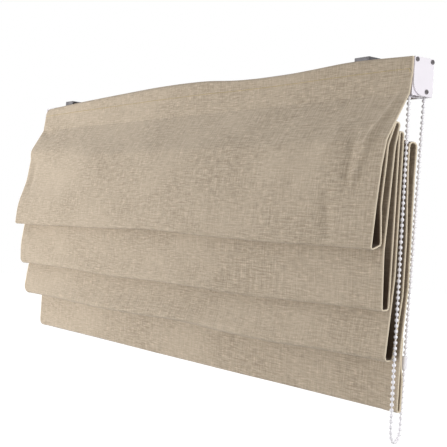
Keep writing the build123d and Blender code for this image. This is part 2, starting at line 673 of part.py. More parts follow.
# Ceiling brackets: a folded steel plate, a plastic lever under it and the cam that it turns in the rail's slot
lever_top = -BRACKET_SHEET - LEVER_GAP
lever_bottom = lever_top - LEVER_THICKNESS
cam_top = rail_top - RAIL_WALL - CAM_GAP
bracket_x = BLIND_WIDTH / 2 - BRACKET_INSET
for side in (-1, 1):
    end = names[side]
    pivot_x = side * (bracket_x - PIVOT_OFFSET)
    with BuildPart() as bracket:
        with Locations((side * bracket_x, 0, 0)):
            Box(BRACKET_LENGTH, RAIL_DEPTH, BRACKET_SHEET, align=(Align.CENTER, Align.CENTER, Align.MAX))
        with Locations((side * bracket_x, rail_front, 0)):
            Box(BRACKET_LENGTH, BRACKET_SHEET, BRACKET_RISE, align=(Align.CENTER, Align.MIN, Align.MAX))
        with Locations((side * (bracket_x + BRACKET_LENGTH / 2 - BRACKET_SHEET / 2), 0, 0)):
            Box(BRACKET_SHEET, RAIL_DEPTH, BRACKET_RISE, align=(Align.CENTER, Align.CENTER, Align.MAX))
        with BuildSketch(Plane.XY):
            with Locations((side * (bracket_x + SCREW_HOLE_OFFSET), 0)):
                with GridLocations(1, SCREW_HOLE_SPACING, 1, 2):
                    Circle(SCREW_HOLE_RADIUS)
            with Locations((pivot_x, 0)):
                Circle(PIVOT_RADIUS + RUNNING_CLEARANCE)
        extrude(amount=-BRACKET_SHEET, mode=Mode.SUBTRACT)
    save(bracket.part, f"bracket_{end}")

    with BuildPart() as lever:
        with BuildSketch(Plane.XY.offset(lever_bottom)):
            with Locations((pivot_x, 0)):
                Circle(LEVER_HUB_RADIUS)
            with Locations((pivot_x - side * LEVER_REACH / 2, 0)):
                RectangleRounded(LEVER_REACH, LEVER_WIDTH, 1.5)
            with Locations((pivot_x, 0)):
                Circle(PIVOT_RADIUS, mode=Mode.SUBTRACT)
        extrude(amount=LEVER_THICKNESS)
    save(lever.part, f"lever_{end}")

    with BuildPart() as cam:
        with BuildSketch(Plane.XY.offset(cam_top)):
            with Locations((pivot_x, 0)):
                Circle(CAM_LENGTH / 2)
                Rectangle(CAM_WIDTH, CAM_LENGTH, mode=Mode.INTERSECT)
        extrude(amount=-CAM_THICKNESS)
        with BuildSketch(Plane.XY.offset(cam_top - CAM_THICKNESS)):
            with Locations((pivot_x, 0)):
                Circle(PIVOT_RADIUS)
        extrude(amount=CAM_THICKNESS - cam_top - PIVOT_TOP_GAP)
    save(cam.part, f"cam_{end}")

# Bead chain as a plain tube: over the wheel, and down in one loop beside the cloth
chain_route = [
    (wheel_x, -pitch_radius, shaft_z),
    (wheel_x, -pitch_radius, -58.0),
    (450.4, -16.8, -388.0),
    (450.8, -16.2, -423.0),
    (437.2, 11.6, -423.0),
    (437.0, 11.2, -388.0),
    (wheel_x, pitch_radius, -58.0),
    (wheel_x, pitch_radius, shaft_z),
]


def corner_radii(points):
    """The largest arc that each corner's two runs allow: 0.45 of the shorter, over the tangent of half the turn."""
    radii = []
    for before, here, after in zip(points, points[1:], points[2:]):
        first = Vector(here) - Vector(before)
        second = Vector(after) - Vector(here)
        half_turn = radians(first.get_angle(second) / 2)
        radii.append(0.45 * min(first.length, second.length) / (sin(half_turn) / cos(half_turn)))
    return radii


chain_radii = corner_radii(chain_route)
print("chain corner radii:", [round(radius, 1) for radius in chain_radii])
with BuildPart() as chain:
    with BuildLine() as chain_line:
        FilletPolyline(*chain_route, radius=chain_radii)
    with BuildSketch(Plane(origin=chain_route[0], z_dir=(0, 0, -1))):
        Circle(BEAD_DIAMETER / 2)
    sweep()
    with BuildSketch(Plane.XY.offset(shaft_z)):
        with Locations((wheel_x, -pitch_radius)):
            Circle(BEAD_DIAMETER / 2)
    revolve(axis=Axis((0, 0, shaft_z), (1, 0, 0)), revolution_arc=-180)
chain_length = sum(edge.length for edge in chain_line.edges()) + pi * pitch_radius
chain_volume = pi * BEAD_DIAMETER**2 / 4 * chain_length
print("chain length:", round(chain_length, 1), "volume ratio:", round(chain.part.volume / chain_volume, 4))
save(chain.part, "chain")

# Joiner that closes the chain, on the rear strand near the bottom
joiner_height = 0.15
strand_low = Vector(chain_route[5])
strand_high = Vector(chain_route[6])
joiner_middle = strand_low + (strand_high - strand_low) * joiner_height
with BuildPart() as chain_joiner:
    with BuildSketch(Plane(origin=joiner_middle, z_dir=strand_high - strand_low)):
        Circle(BEAD_DIAMETER / 2 + JOINER_WALL)
        Circle(BEAD_DIAMETER / 2, mode=Mode.SUBTRACT)
    extrude(amount=JOINER_HALF_LENGTH, both=True)
save(chain_joiner.part, "chain_joiner")
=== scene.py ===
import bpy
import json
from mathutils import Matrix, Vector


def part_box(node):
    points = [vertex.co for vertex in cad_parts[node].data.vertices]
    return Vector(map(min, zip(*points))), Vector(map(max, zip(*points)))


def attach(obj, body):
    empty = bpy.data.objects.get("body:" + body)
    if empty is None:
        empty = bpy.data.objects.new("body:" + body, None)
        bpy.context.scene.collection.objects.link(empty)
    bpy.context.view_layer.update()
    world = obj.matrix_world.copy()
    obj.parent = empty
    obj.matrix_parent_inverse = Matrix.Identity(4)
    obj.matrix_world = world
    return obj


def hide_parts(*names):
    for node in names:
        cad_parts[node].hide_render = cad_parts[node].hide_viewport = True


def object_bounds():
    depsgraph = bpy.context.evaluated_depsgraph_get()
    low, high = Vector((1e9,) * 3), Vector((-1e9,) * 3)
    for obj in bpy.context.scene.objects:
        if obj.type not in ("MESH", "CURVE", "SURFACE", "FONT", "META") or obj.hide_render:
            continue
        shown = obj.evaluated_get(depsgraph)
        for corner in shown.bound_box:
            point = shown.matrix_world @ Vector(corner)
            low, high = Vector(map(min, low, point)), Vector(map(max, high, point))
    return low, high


bl_info = {
    "name": "Roman Blind",
    "version": (1, 0, 0),
    "blender": (4, 5, 0),
    "location": "View3D > Sidebar > Roman Blind",
    "description": "Dresses a raised linen roman blind: cloth, stitches, bead chain, finishes and a studio",
    "category": "Object",
}

import json
from math import pi

import bpy
import numpy as np
from mathutils import Matrix, Vector

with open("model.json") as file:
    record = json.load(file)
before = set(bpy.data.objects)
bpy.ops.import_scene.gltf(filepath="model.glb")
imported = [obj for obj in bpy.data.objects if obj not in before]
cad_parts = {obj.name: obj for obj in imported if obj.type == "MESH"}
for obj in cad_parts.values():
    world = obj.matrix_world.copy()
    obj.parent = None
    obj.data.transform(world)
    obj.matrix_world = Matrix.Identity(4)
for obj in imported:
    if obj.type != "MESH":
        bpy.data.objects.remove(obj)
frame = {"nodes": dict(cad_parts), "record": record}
CAD_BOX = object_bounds()

MM = 0.001
FRAME_PIXELS = 447

# Places read from the frame, in metres
RAIL_LOW, RAIL_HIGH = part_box("headrail")
RAIL_FRONT = RAIL_LOW.y
RAIL_TOP = RAIL_HIGH.z
CLOTH_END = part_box("fabric")[1].x

# The cloth's cross-section in millimetres, as in the part but with a tighter bend under the rail: how far
# forward of the rail, how far below its top, and the bend's radius
CLOTH_ROUTE = [
    (2.0, -14.0, 0.0),
    (2.0, 18.0, 25.0),
    (4.6, 41.0, 5.0),
    (33.6, 94.0, 20.0),
    (39.0, 122.0, 60.0),
    (44.0, 165.0, 150.0),
    (47.8, 213.0, 2.4),
    (33.4, 207.0, 3.4),
    (36.4, 165.0, 60.0),
    (32.0, 118.0, 60.0),
    (31.0, 100.0, 18.0),
    (21.2, 74.0, 3.1),
    (14.4, 74.0, 3.1),
    (20.5, 100.0, 40.0),
    (28.5, 215.0, 80.0),
    (25.8, 276.8, 2.8),
    (14.9, 275.2, 3.2),
    (14.0, 83.2, 3.2),
    (6.0, 83.2, 3.2),
    (5.5, 240.0, 80.0),
    (16.6, 332.0, 5.0),
    (-0.8, 331.5, 5.0),
    (-9.8, 262.0, 60.0),
    (-10.0, 200.0, 200.0),
    (-5.4, 118.0, 60.0),
    (-5.6, 91.9, 5.2),
    (-16.8, 91.9, 5.2),
    (-16.0, 130.0, 60.0),
    (-17.4, 250.0, 80.0),
    (-12.2, 318.0, 60.0),
    (-12.4, 387.0, 1.8),
    (-17.4, 387.0, 1.8),
    (-17.3, 352.0, 30.0),
    (-14.2, 336.0, 30.0),
    (-14.4, 306.0, 0.0),
]

# The points of that route where each fold starts, which are the top and then the crests that the folds hang
# from, and where the front panel ends
FOLD_STARTS = (0, 12, 18, 26)
FRONT_PANEL_END = 7

# How high the cloth's top edge stands above the rail, along the blind, in millimetres
TOP_EDGE = [
    (-448.5, -3.4), (-425.0, -2.2), (-327.0, 1.5), (-237.0, 3.8), (-154.0, 5.7), (-77.0, 7.3), (-6.0, 7.2),
    (60.0, 5.6), (121.0, 0.6), (178.0, -1.3), (232.0, -1.5), (281.0, 0.0), (328.0, 2.0), (350.0, 2.7),
    (372.0, 2.1), (393.0, 1.5), (410.0, 1.0), (448.5, -0.8),
]

# How far below the rail's top each fold's lowest line hangs, along the blind, in millimetres; the last is
# the hem
FOLD_LINES = (
    [
        (-448, 208.0), (-343, 209.0), (-255, 207.2), (-174, 207.4), (-99, 206.6), (-30, 204.6), (35, 205.0),
        (95, 207.0), (151, 208.8), (204, 209.2), (253, 210.6), (342, 210.2), (448, 211.0),
    ],
    [
        (-448, 276.0), (-354, 275.8), (-265, 275.6), (-183, 278.0), (-108, 278.8), (-38, 277.0), (26, 276.2),
        (87, 277.0), (143, 278.0), (196, 278.6), (291, 277.6), (334, 276.2), (448, 275.2),
    ],
    [
        (-448, 328.4), (-359, 328.6), (-270, 329.6), (-188, 331.4), (-113, 330.4), (-43, 329.4), (21, 327.2),
        (81, 327.6), (138, 330.4), (191, 331.8), (241, 332.2), (287, 331.2), (331, 329.6), (448, 329.0),
    ],
    [
        (-448, 384.0), (-222, 384.0), (-67, 384.9), (65, 384.8), (100, 385.0), (180, 384.9), (250, 384.6),
        (448, 384.9),
    ],
)

# The drop below which the front panel hangs free of the rail
FREE_DROP = 40.0

# Radii of the cloth's round corners at the far end, and how much the rear layers stand in from each end
TOP_CORNER = 16.0
FOLD_CORNER = 9.0
REAR_INSET = 4.5

# The share by which the stack is narrower at the far end, between the crests and the loops' lower halves
FAR_NARROWING = 0.26

# Where folds stand further out, at the far end and along the middle: the fold counted from the front, how
# far, and the drops between which that grows
FAR_FLARES = [(2, 7.0, 200, 260), (3, 5.0, 230, 300)]
LOWER_LIPS = [(2, 5.0, 248, 274), (3, 5.0, 304, 330)]

# Soft creases on the front panel: start and end along the blind and down it, width, and height of the ridge
CREASES = [
    (436, 46, 418, 96, 5, 3.4),
    (426, 82, 404, 150, 6, 3.2),
    (394, 88, 399, 148, 5, -2.8),
    (366, 154, 377, 204, 9, -3.2),
    (350, 112, 372, 74, 9, 2.4),
    (300, 60, 262, 150, 22, 2.0),
    (-438, 46, -392, 52, 5, -2.4),
    (-428, 100, -426, 150, 8, -2.2),
    (-60, 60, 10, 150, 30, 1.8),
    (-260, 70, -200, 160, 34, 1.6),
    (120, 150, 150, 205, 20, 1.4),
]

# The stitches that hold the loop tape, in millimetres: their line's distance from the cloth's top edge, how
# far they stop short of each end, and the loose end of the thread from the last stitch
STITCH_LINE = 26.0
STITCH_INSETS = (6.0, 4.0)
THREAD_END = [(0.0, 0.0, 0.0), (2.0, -0.6, -0.4), (3.6, -1.0, -2.4), (3.9, -1.2, -4.6)]

# The chain's route, as in the part: down the front strand, round below and up the rear strand
CHAIN_ROUTE = [
    (441.0, -11.591, -28.0),
    (441.0, -11.591, -58.0),
    (450.4, -16.8, -388.0),
    (450.8, -16.2, -423.0),
    (437.2, 11.6, -423.0),
    (437.0, 11.2, -388.0),
    (441.0, 11.591, -58.0),
    (441.0, 11.591, -28.0),
]
WHEEL_CENTRE_Z = -28.0
CHAIN_PITCH_RADIUS = 11.591

# The photograph's camera, from a fit of the rail, the folds and the end cap
CAMERA_PLACE = (1228.47 * MM, -806.73 * MM, -215.32 * MM)
CAMERA_YAW = 0.951788
CAMERA_PITCH = 0.01344
CAMERA_ROLL = 0.067368
CAMERA_FOCAL_PIXELS = 1023.11
SENSOR_WIDTH = 36.0

# Each lamp's place, the point that it looks at, and its width and height, in metres
KEY_LAMP = ((-1.85, -1.75, -0.55), (-0.15, 0.0, -0.2), 1.2, 0.9)
FILL_LAMP = ((2.3, 0.1, 0.1), (0.4, 0.0, -0.15), 1.2, 1.2)
BACK_LAMP = ((-0.5, 2.4, 0.1), (0.0, 0.0, -0.2), 1.4, 1.0)

# The floor's reach from the middle in metres, its grey, and the glow that whitens it where it is seen
FLOOR_REACH = 14.0
FLOOR_GREY = 0.35
FLOOR_GLOW = 0.9


def srgb(red, green, blue):
    """A colour given in 0 to 255 steps of the screen's scale, as the linear values that shaders take."""
    steps = np.array((red, green, blue)) / 255.0
    linear = np.where(steps <= 0.04045, steps / 12.92, ((steps + 0.055) / 1.055) ** 2.4)
    return tuple(float(value) for value in linear)


def colour(name, description, default):
    return bpy.props.FloatVectorProperty(
        name=name, description=description, default=default, size=3, min=0.0, max=1.0, subtype="COLOR"
    )


def length(name, description, default):
    return bpy.props.FloatProperty(
        name=name,
        description=description,
        default=default,
        min=0.0,
        subtype="DISTANCE",
        unit="LENGTH",
        precision=5,
    )


def power(name, description, default):
    return bpy.props.FloatProperty(
        name=name, description=description + ", in watts", default=default, min=0.0, subtype="POWER"
    )


class RomanBlindCloth(bpy.types.PropertyGroup):
    """Sizes and colours of the folded panel and its stitches."""

    thickness: length("Thickness", "Thickness of the linen and its backing", 1.2 * MM)
    hem_width: length("Side hem", "Width of the turned side hems", 22 * MM)
    hem_swell: length("Hem swell", "How much thicker each face is where the side hem is turned", 0.3 * MM)
    edge_swell: length("Edge swell", "How much thicker each face is at the hem's folded edge", 0.4 * MM)
    columns: bpy.props.IntProperty(name="Columns", description="Faces across the cloth", default=112, min=20)
    straight_step: length("Row step", "Longest face along a straight run", 6.5 * MM)
    linen: colour("Linen", "Mean colour of the linen", srgb(189, 174, 154))
    slub: colour("Slub", "Darker threads of the weave", srgb(162, 146, 125))
    # The hem's folded edge: a paler tone of its own, brightened further as a painted highlight where the edge
    # faces the light
    edge_tone_and_highlight: colour("Edge", "Pale line of the hem's folded edge", srgb(230, 216, 192))
    # Painted shade: a dark brown for the rear face inside the folds, where the cloth's back is the same linen
    # as its front
    painted_fold_shade: colour("Inside", "Shaded lining inside the folds", srgb(92, 70, 50))
    stitch_pitch: length("Stitch pitch", "Distance from stitch to stitch", 3.0 * MM)
    thread: length("Thread", "Radius of the stitching thread", 0.3 * MM)
    thread_colour: colour("Thread colour", "Colour of the stitching thread", srgb(214, 196, 150))


class RomanBlindChain(bpy.types.PropertyGroup):
    """Sizes and colour of the bead chain."""

    bead: length("Bead", "Diameter of a bead", 4.5 * MM)
    pitch: length("Pitch", "Distance from bead to bead", 6 * MM)
    link: length("Link", "Diameter of the cord between the beads", 1.3 * MM)
    plastic: colour("Plastic", "Colour of the beads", srgb(246, 244, 248))


class RomanBlindStudio(bpy.types.PropertyGroup):
    """Light, floor and camera."""

    ambient: bpy.props.FloatProperty(
        name="Ambient", description="Strength of the even light", default=0.45, min=0.0
    )
    key: power("Key", "Power of the main lamp", 64.0)
    fill: power("Fill", "Power of the side lamp", 24.0)
    back: power("Back", "Power of the lamp behind", 22.0)
    floor_drop: length("Floor", "How far below the blind the floor lies", 0.6)


def material(name, base, roughness=0.5, metallic=0.0):
    """A fresh material with its Principled shader, whose sockets take the colour, roughness and metal."""
    made = bpy.data.materials.new(name)
    made.use_nodes = True
    shader = made.node_tree.nodes["Principled BSDF"]
    shader.inputs["Base Color"].default_value = (*base, 1.0)
    shader.inputs["Roughness"].default_value = roughness
    shader.inputs["Metallic"].default_value = metallic
    return made, made.node_tree, shader


def node(tree, kind, **values):
    """Adds a node and sets its plain values; keys that name an input go to that socket."""
    made = tree.nodes.new(kind)
    for key, value in values.items():
        if key in made.inputs:
            made.inputs[key].default_value = value
        else:
            setattr(made, key, value)
    return made


def mapped(tree, source, scale, location=(0.0, 0.0, 0.0)):
    """Coordinates stretched by scale, from a texture coordinate socket."""
    stretch = node(tree, "ShaderNodeMapping", Scale=scale, Location=location)
    tree.links.new(source, stretch.inputs["Vector"])
    return stretch.outputs["Vector"]


def noise(tree, vector, detail=2.0, roughness=0.5):
    made = node(tree, "ShaderNodeTexNoise", Scale=1.0, Detail=detail, Roughness=roughness)
    tree.links.new(vector, made.inputs["Vector"])
    return made.outputs["Fac"]


def mix(tree, factor, first, second):
    """Mixes two colours, each a socket or a plain colour, by a socket or a number."""
    made = node(tree, "ShaderNodeMix", data_type="RGBA")
    # The Mix node's sockets for colours are numbers 6 and 7, and its colour comes out of number 2
    for index, value in ((0, factor), (6, first), (7, second)):
        if isinstance(value, bpy.types.NodeSocket):
            tree.links.new(value, made.inputs[index])
        elif index == 0:
            made.inputs[index].default_value = value
        else:
            made.inputs[index].default_value = (*value, 1.0)
    return made.outputs[2]


def maths(tree, operation, first, second=0.0, third=0.0):
    made = node(tree, "ShaderNodeMath", operation=operation)
    for index, value in enumerate((first, second, third)):
        if isinstance(value, bpy.types.NodeSocket):
            tree.links.new(value, made.inputs[index])
        else:
            made.inputs[index].default_value = value
    return made.outputs[0]


def blended(tree, first, second, first_share=0.6):
    """Two values added, each by its share of one."""
    return maths(
        tree,
        "ADD",
        maths(tree, "MULTIPLY", first, first_share),
        maths(tree, "MULTIPLY", second, 1.0 - first_share),
    )


def spread(tree, value, low, high, to_low=0.0, to_high=1.0):
    """Maps a value's range low..high onto to_low..to_high, smoothly and held at its ends."""
    made = node(tree, "ShaderNodeMapRange", interpolation_type="SMOOTHSTEP")
    tree.links.new(value, made.inputs["Value"])
    for name, number in (("From Min", low), ("From Max", high), ("To Min", to_low), ("To Max", to_high)):
        made.inputs[name].default_value = number
    return made.outputs["Result"]


def bump(tree, shader, height, strength, distance):
    made = node(tree, "ShaderNodeBump", Strength=strength, Distance=distance)
    tree.links.new(height, made.inputs["Height"])
    tree.links.new(made.outputs["Normal"], shader.inputs["Normal"])


def seen_rays(tree):
    """1 for rays of the camera, of reflections and of clear materials, and 0 for light."""
    rays = node(tree, "ShaderNodeLightPath")
    seen = maths(tree, "MAXIMUM", rays.outputs["Is Camera Ray"], rays.outputs["Is Glossy Ray"])
    return maths(tree, "MAXIMUM", seen, rays.outputs["Is Transmission Ray"])


def scaled(base, factor):
    """A colour made lighter or darker by a factor, at most white."""
    return tuple(min(1.0, value * factor) for value in base)


def linen_material(cloth):
    """Plain-woven linen: slubbed weft lines across, finer warp lines down, soft mottling, painted shade
    inside the folds, and pale folded edges brightened by a painted highlight. The scales are in patches of
    noise for each metre of cloth, across and down."""
    made, tree, shader = material("linen", cloth.linen, 0.92)
    shader.inputs["Sheen Weight"].default_value = 0.12
    shader.inputs["Sheen Roughness"].default_value = 0.6
    shader.inputs["Specular IOR Level"].default_value = 0.2
    uv = node(tree, "ShaderNodeUVMap", uv_map="cloth").outputs["UV"]
    weft = noise(tree, mapped(tree, uv, (28.0, 900.0, 1.0)), detail=3.0, roughness=0.6)
    warp = noise(tree, mapped(tree, uv, (1000.0, 22.0, 1.0), (3.0, 7.0, 0.0)), detail=2.0)
    grain = noise(tree, mapped(tree, uv, (1400.0, 1400.0, 1.0)), detail=1.0)
    broad = noise(tree, mapped(tree, uv, (7.0, 11.0, 1.0)), detail=3.0)
    thick_weft = noise(tree, mapped(tree, uv, (75.0, 520.0, 1.0), (0.3, 0.1, 0.0)), detail=2.0, roughness=0.7)
    thick_warp = noise(tree, mapped(tree, uv, (480.0, 65.0, 1.0), (0.7, 0.9, 0.0)), detail=2.0, roughness=0.7)
    threads = blended(tree, weft, warp)
    slubs = blended(tree, thick_weft, thick_warp)
    body = mix(tree, spread(tree, threads, 0.4, 0.6), cloth.slub, cloth.linen)
    body = mix(tree, spread(tree, slubs, 0.5, 0.68, 0.0, 0.75), body, scaled(cloth.slub, 0.6))
    body = mix(tree, spread(tree, slubs, 0.5, 0.32, 0.0, 0.75), body, scaled(cloth.linen, 1.42))
    body = mix(tree, spread(tree, broad, 0.3, 0.75, 0.0, 0.5), body, scaled(cloth.linen, 1.12))
    body = mix(tree, spread(tree, grain, 0.45, 0.8, 0.0, 0.5), body, scaled(cloth.slub, 0.8))
    # Painted shade: the rear face inside the folds is mixed towards the dark brown, standing in for the shade
    # in the loops
    painted_shade = node(tree, "ShaderNodeAttribute", attribute_name="painted_shade").outputs["Fac"]
    body = mix(tree, painted_shade, body, cloth.painted_fold_shade)
    # Pale folded edge: partly its own tone, partly a painted highlight
    edge = node(tree, "ShaderNodeAttribute", attribute_name="edge").outputs["Fac"]
    body = mix(tree, edge, body, cloth.edge_tone_and_highlight)
    tree.links.new(body, shader.inputs["Base Color"])
    relief = maths(tree, "ADD", threads, maths(tree, "MULTIPLY", grain, 0.5))
    bump(tree, shader, relief, 0.5, 0.0005)
    return made


def moulded_material(name, base, roughness, speckle=0.04):
    """Moulded or painted surface: near-even colour with a faint cloudiness and a fine skin texture."""
    made, tree, shader = material(name, base, roughness)
    place = node(tree, "ShaderNodeTexCoord").outputs["Object"]
    cloud = noise(tree, mapped(tree, place, (60.0, 60.0, 60.0)), detail=3.0)
    clouded = mix(tree, spread(tree, cloud, 0.35, 0.7), base, scaled(base, 1.0 - speckle))
    tree.links.new(clouded, shader.inputs["Base Color"])
    skin = noise(tree, mapped(tree, place, (2500.0, 2500.0, 2500.0)), detail=1.0)
    bump(tree, shader, skin, 0.08, 0.0001)
    return made


def metal_material(name, base, roughness, along=(30.0, 1500.0, 1500.0)):
    """Bare metal with fine drawing lines along one axis and uneven dulling."""
    made, tree, shader = material(name, base, roughness, metallic=1.0)
    place = node(tree, "ShaderNodeTexCoord").outputs["Object"]
    lines = noise(tree, mapped(tree, place, along), detail=2.0)
    dull = noise(tree, mapped(tree, place, (90.0, 90.0, 90.0)), detail=4.0)
    dulled = mix(tree, spread(tree, dull, 0.3, 0.7), base, scaled(base, 0.65))
    tree.links.new(dulled, shader.inputs["Base Color"])
    polish = spread(tree, lines, 0.3, 0.7, roughness * 0.8, roughness * 1.25)
    tree.links.new(polish, shader.inputs["Roughness"])
    bump(tree, shader, lines, 0.1, 0.0001)
    return made


def woven_material(name, base, threads_per_metre):
    """Narrow woven tape or braided cord: crossed thread lines in its own colour."""
    made, tree, shader = material(name, base, 0.9)
    place = node(tree, "ShaderNodeTexCoord").outputs["Object"]
    count = threads_per_metre
    across = noise(tree, mapped(tree, place, (count, count * 0.2, count)), detail=1.0)
    crossed = mix(tree, spread(tree, across, 0.35, 0.65), base, scaled(base, 0.8))
    tree.links.new(crossed, shader.inputs["Base Color"])
    bump(tree, shader, across, 0.4, 0.0002)
    return made


def mesh_piece(name, points, face_groups, finish, smooth=True):
    """An object at the origin with its place in its mesh. Each face group is an array of corner numbers."""
    mesh = bpy.data.meshes.new(name)
    mesh.from_pydata(points.tolist(), [], sum((group.tolist() for group in face_groups), []))
    mesh.materials.append(finish)
    mesh.polygons.foreach_set("use_smooth", np.full(len(mesh.polygons), smooth))
    mesh.update()
    made = bpy.data.objects.new(name, mesh)
    bpy.context.scene.collection.objects.link(made)
    return made


def repeated(shape, face_groups, places):
    """A shape's points moved to each place, and its faces numbered to match."""
    points = (places[:, None, :] + shape[None, :, :]).reshape(-1, 3)
    shift = (np.arange(len(places)) * len(shape))[:, None, None]
    return points, [(group[None] + shift).reshape(-1, group.shape[1]) for group in face_groups]


def joined(first, second):
    """Two shapes, each its points and groups of faces, as one."""
    shift = len(first[0])
    return np.concatenate((first[0], second[0])), first[1] + [group + shift for group in second[1]]


def smoothstep(value):
    """3t^2 - 2t^3 for t held between 0 and 1."""
    held = np.clip(value, 0.0, 1.0)
    return held * held * (3.0 - 2.0 * held)


def ramp(distance, start, end):
    """A smooth step from 0 to 1 as a distance in metres goes from start to end, which are in millimetres."""
    return smoothstep((distance - start * MM) / ((end - start) * MM))


def rounded_section(route, step):
    """Samples a route of straight runs joined by tangent arcs. At each corner the arc starts r tan(a/2) from
    it, where a is the turn; its points are c + r (cos t, sin t). Straight runs are cut into equal steps no
    longer than step."""
    corners = np.array([point[:2] for point in route])
    radii = [point[2] for point in route]
    arc_step = 0.42
    pieces = [corners[:1]]
    for index in range(1, len(route)):
        here = corners[index]
        before = pieces[-1][-1]
        if index == len(route) - 1:
            stop, arc = here, None
        else:
            into = here - corners[index - 1]
            out = corners[index + 1] - here
            into = into / np.hypot(*into)
            out = out / np.hypot(*out)
            turn = np.arctan2(into[0] * out[1] - into[1] * out[0], into @ out)
            reach = radii[index] * np.tan(abs(turn) / 2)
            stop = here - into * reach
            centre = stop + np.array((-into[1], into[0])) * np.sign(turn) * radii[index]
            count = max(2, int(np.ceil(abs(turn) / arc_step)))
            angles = np.linspace(0.0, turn, count + 1)[1:]
            spoke = stop - centre
            arc = centre + np.stack(
                (
                    spoke[0] * np.cos(angles) - spoke[1] * np.sin(angles),
                    spoke[0] * np.sin(angles) + spoke[1] * np.cos(angles),
                ),
                axis=1,
            )
        count = max(1, int(np.ceil(np.hypot(*(stop - before)) / step)))
        share = np.linspace(0.0, 1.0, count + 1)[1:, None]
        pieces.append(before + (stop - before) * share)
        if arc is not None:
            pieces.append(arc)
    return np.concatenate(pieces)


def along_blind(x, table, window=0.05):
    """A value listed along the blind in millimetres, in metres: straight pieces between the listed ones,
    smoothed by a moving mean."""
    listed = np.array(table) * MM
    offsets = np.linspace(-window / 2, window / 2, 15)
    return np.mean([np.interp(x + offset, listed[:, 0], listed[:, 1]) for offset in offsets], axis=0)


def corner_lift(x, radius):
    """Height that a round corner takes off at the far end: R - sqrt(R^2 - (R - d)^2), a distance d away."""
    reach = radius * MM
    short = np.clip(reach - (x + CLOTH_END), 0.0, reach)
    return reach - np.sqrt(reach**2 - short**2)


def drape(x, drop, forward):
    """How far each layer swings forward of its plain section: long waves along the blind, nothing at the rail
    and at the hem panel's bar, and most at the front, so that layers keep apart."""
    long_wave = 1.8 * np.sin(2 * pi * (x + 0.13) / 0.74)
    short_wave = 0.9 * np.sin(2 * pi * (x - 0.05) / 0.31 + drop * 6.0)
    return ramp(drop, 50, 200) * ramp(forward, -4, 41) * (long_wave + short_wave) * MM


def creases(x, drop):
    """Height of the soft creases on the front panel: each is h exp(-(s/w)^2) across its line, and fades over
    both ends."""
    beyond, fade = 0.25, 0.4
    height = np.zeros(np.broadcast(x, drop).shape)
    for x0, drop0, x1, drop1, width, ridge in CREASES:
        start = np.array((x0, drop0)) * MM
        line = np.array((x1, drop1)) * MM - start
        reach = np.hypot(*line)
        unit = line / reach
        along = ((x - start[0]) * unit[0] + (drop - start[1]) * unit[1]) / reach
        across = (x - start[0]) * unit[1] - (drop - start[1]) * unit[0]
        ends = smoothstep((along + beyond) / fade) * smoothstep((1.0 + beyond - along) / fade)
        height += ridge * MM * ends * np.exp(-((across / (width * MM)) ** 2))
    return height


def section_row(section, index):
    """The sampled row that lies nearest to a point of the cloth's route."""
    return int(np.argmin(np.hypot(*(section - np.array(CLOTH_ROUTE[index][:2]) * MM).T)))


def raised_top(x, drop):
    """Each row's drop with the top run stretched, so that it ends at the uneven top edge."""
    top, first_bend = (CLOTH_ROUTE[index][1] * MM for index in (0, 1))
    share = np.clip((first_bend - drop) / (first_bend - top), 0.0, 1.0)
    rise = along_blind(x[0], TOP_EDGE, 0.045) - corner_lift(x[0], TOP_CORNER)
    return np.where(drop < first_bend, first_bend - share * (first_bend + rise[None, :]), drop)


def fold_shift(x, drop, starts, thickness):
    """How far each row moves down, so that a fold's lowest line follows its own curve: nothing at the fold's
    crest and all of it at its lowest row."""
    shift = np.zeros(np.broadcast(x, drop).shape)
    for number, line in enumerate(FOLD_LINES):
        rows = slice(starts[number], starts[number + 1])
        lowest = drop[rows].max() + thickness / 2
        crest = max(drop[starts[number], 0], FREE_DROP * MM)
        grow = smoothstep((drop[rows] - crest) / (lowest - crest))
        wanted = along_blind(x[0], line) - lowest
        if number:
            wanted = wanted - corner_lift(x[0], FOLD_CORNER)
        shift[rows] = grow * wanted[None, :]
    return shift


def stand_out(x, drop, forward, starts):
    """How far each row stands forward of the rail's front: its plain place, narrowed towards the far end in
    the stack's middle, with the flares and lips of the lower folds added."""
    narrow = FAR_NARROWING * ramp(x, -150, -450) * ramp(drop, 76, 98) * ramp(drop, 190, 120)
    out = np.maximum(forward, 0.0) * (1.0 - narrow) + np.minimum(forward, 0.0)
    fold = np.searchsorted(starts, np.arange(len(drop)), side="right")[:, None]
    at_far_end = ramp(x, -300, -440)
    at_middle = ramp(x, 320, 20) * ramp(x + CLOTH_END, 0, 180)
    for table, where in ((FAR_FLARES, at_far_end), (LOWER_LIPS, at_middle)):
        for number, reach, start, end in table:
            out = out + reach * MM * (fold == number) * ramp(drop, start, end) * where
    return out


def painted_fold_shade_share(drop, starts):
    """How strongly each row's rear face is darkened by painted shade: a quarter high inside a fold, most near
    its lowest line.
    """
    painted_shade = np.zeros(len(drop))
    for number in range(len(FOLD_LINES) - 1):
        rows = slice(starts[number], starts[number + 1])
        above = drop[rows, 0].max() - drop[rows, 0]
        painted_shade[rows] = 0.25 + 0.65 * ramp(above, 75, 20)
    return painted_shade


